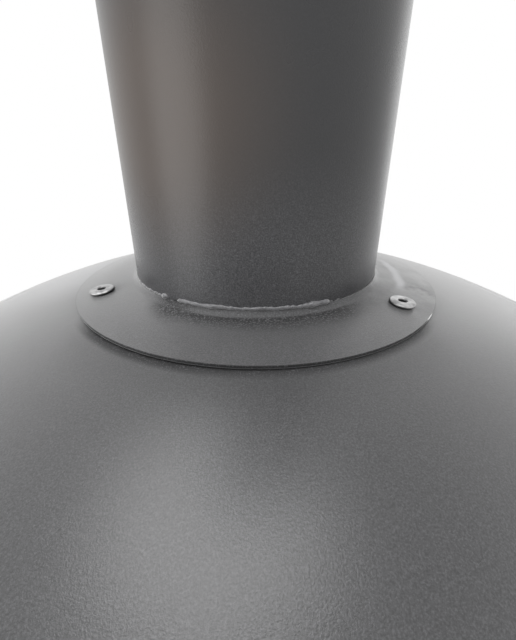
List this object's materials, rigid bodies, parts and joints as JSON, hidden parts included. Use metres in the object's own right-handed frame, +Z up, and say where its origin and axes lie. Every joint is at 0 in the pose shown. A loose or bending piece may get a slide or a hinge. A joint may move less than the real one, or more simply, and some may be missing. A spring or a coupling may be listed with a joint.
{
  "type": "outdoor fireplace",
  "caption": "Globe-shaped sheet-steel garden fireplace on bent legs, with a riveted flue collar, welded flue, rain cap and hinged spark-screen door.",
  "frame": {"origin": "on the floor, under the globe's axis", "axes": "+Z up along the globe's and the flue's axis, mouth and door towards -Y, +X to the right of someone who faces the door"},
  "size_m": [0.7399, 0.7417, 1.5525],
  "materials": {
    "shell": "charcoal heat paint, fine grained, semi-matt",
    "collar": "charcoal heat paint, fine grained, semi-matt",
    "weld": "painted weld bead",
    "flue": "charcoal heat paint, semi-matt",
    "cap": "charcoal heat paint, semi-matt",
    "rivet": "painted aluminium, lightly worn",
    "door": "charcoal heat paint, semi-matt",
    "screen": "black heat paint",
    "hardware": "zinc-plated steel",
    "bracket": "charcoal heat paint, semi-matt",
    "knob": "turned steel",
    "grate": "raw cast iron",
    "leg": "charcoal heat paint, semi-matt"
  },
  "bodies": {
    "fireplace": {"upper_dome": "shell", "lower_bowl": "shell", "flue_collar": "collar", "mouth_ring": "collar", "flue_weld": "weld", "lower_flue": "flue", "upper_flue": "flue", "collar_rivets": "rivet", "mouth_rivets": "rivet", "rim_bolts": "hardware", "rim_nuts": "hardware", "flue_screws": "hardware", "hinge_pins": "hardware", "leg_bolts": "hardware", "leg_nuts": "hardware", "hinge_lugs": "bracket", "latch_keeper": "bracket", "leg_back": "leg", "leg_left": "leg", "leg_right": "leg"},
    "door": {"door_frame": "door", "door_screen": "screen", "screen_clamp": "door", "door_rivets": "rivet", "latch_bolt": "hardware", "latch_nut": "hardware"},
    "latch": {"latch_lever": "bracket", "latch_knob": "knob"},
    "cap": {"cap_band": "cap", "cap_strap_back": "cap", "cap_strap_left": "cap", "cap_strap_right": "cap", "rain_cap": "cap", "cap_rivets": "rivet"},
    "grate": {"fire_grate": "grate"}
  },
  "joints": [
    {"name": "door_swing", "type": "hinge", "parent": "fireplace", "child": "door", "pos_m": [-0.178, -0.28217, 0.70324], "axis": [0, -0.5446, -0.8387], "range_deg": [0, 115]},
    {"name": "latch_turn", "type": "hinge", "parent": "door", "child": "latch", "pos_m": [0.163, -0.28519, 0.7052], "axis": [0, -0.8387, 0.5446], "range_deg": [-90, 0]},
    {"name": "cap_lift", "type": "slide", "parent": "fireplace", "child": "cap", "axis": [0, 0, 1], "range_m": [0, 0.05]},
    {"name": "grate_lift", "type": "slide", "parent": "fireplace", "child": "grate", "axis": [0, 0, 1], "range_m": [0, 0.08]}
  ]
}
